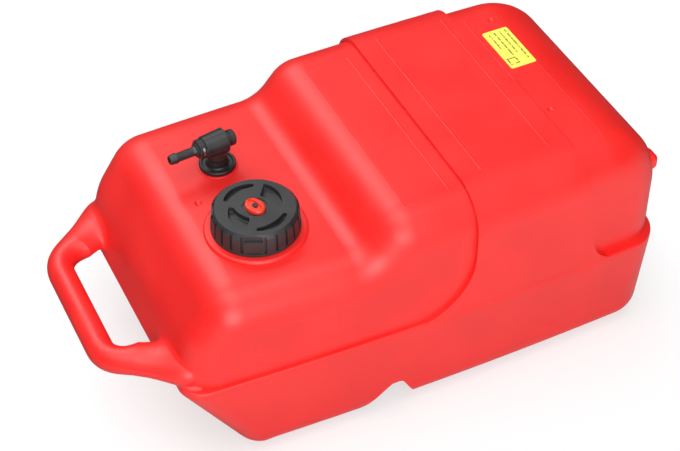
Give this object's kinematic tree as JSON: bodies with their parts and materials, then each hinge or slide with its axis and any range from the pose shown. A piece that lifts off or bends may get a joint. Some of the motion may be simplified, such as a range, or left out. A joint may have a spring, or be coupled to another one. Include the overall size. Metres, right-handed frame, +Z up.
{
  "type": "outboard fuel tank",
  "caption": "Portable boat fuel tank: moulded low-deck body with a carrying handle, a vented screw cap and a swivelling hose outlet with an inner pick-up tube.",
  "frame": {"origin": "on the floor plane under the middle of the tank's length and width, handle end at -X", "axes": "+Z up, +X along the length from the handle to the high rear end, +Y to the side of the hose outlet"},
  "size_m": [0.5218, 0.277, 0.2272],
  "materials": {
    "tank_red": "satin moulded polyethylene",
    "label_yellow": "printed film",
    "cap_black": "satin",
    "core_black": "satin",
    "seal_rubber": "matt",
    "knob_red": "gloss",
    "valve_white": "satin",
    "clip_steel": "bright",
    "fitting_black": "satin",
    "tube_grey": "satin",
    "mesh_steel": "woven"
  },
  "bodies": {
    "tank": {"tank_body": "tank_red", "info_label": "label_yellow", "outlet_gasket": "seal_rubber", "outlet_base": "fitting_black", "outlet_nut": "core_black", "stem_o_ring": "seal_rubber", "check_spring": "clip_steel", "pickup_tube": "tube_grey", "strainer_cage": "tube_grey", "strainer_mesh": "mesh_steel"},
    "cap_ride": {"cap_gasket": "seal_rubber"},
    "cap": {"cap_shell": "cap_black", "cap_core": "core_black"},
    "vent": {"vent_knob": "knob_red", "vent_spindle": "core_black", "vent_o_ring": "seal_rubber", "vent_clip": "clip_steel", "vent_spring": "clip_steel"},
    "valve": {"vent_valve": "valve_white"},
    "elbow": {"elbow_body": "fitting_black", "elbow_snap_ring": "clip_steel", "hose_barb": "fitting_black", "barb_clip": "clip_steel", "barb_o_ring": "seal_rubber", "end_plug": "fitting_black", "plug_o_ring": "seal_rubber"},
    "ball": {"check_ball": "valve_white"}
  },
  "joints": [
    {"name": "cap_rise", "type": "slide", "parent": "tank", "child": "cap_ride", "axis": [0, 0, 1], "range_m": [0, 0.012]},
    {"name": "cap_turn", "type": "hinge", "parent": "cap_ride", "child": "cap", "pos_m": [-0.1021, -0.0475, 0.2], "axis": [0, 0, 1], "range_deg": [0, 720]},
    {"name": "vent_turn", "type": "hinge", "parent": "cap", "child": "vent", "pos_m": [-0.1021, -0.0475, 0.21], "axis": [0, 0, 1], "range_deg": [0, 90]},
    {"name": "vent_drop", "type": "slide", "parent": "vent", "child": "valve", "axis": [0, 0, -1], "range_m": [0, 0.0015], "deforming": ["vent_spring"]},
    {"name": "elbow_swivel", "type": "hinge", "parent": "tank", "child": "elbow", "pos_m": [-0.1006, 0.0395, 0.204], "axis": [0, 0, 1], "continuous": true},
    {"name": "check_lift", "type": "slide", "parent": "tank", "child": "ball", "axis": [0, 0, 1], "range_m": [0, 0.0025], "stiffness_N_per_m": 25, "springref_m": -0.002, "deforming": ["check_spring"]}
  ],
  "couplings": [
    {"joint": "cap_rise", "follows": "cap_turn", "m_per_rad": 0.00095493},
    {"joint": "vent_drop", "follows": "vent_turn", "m_per_rad": 0.00095483}
  ]
}
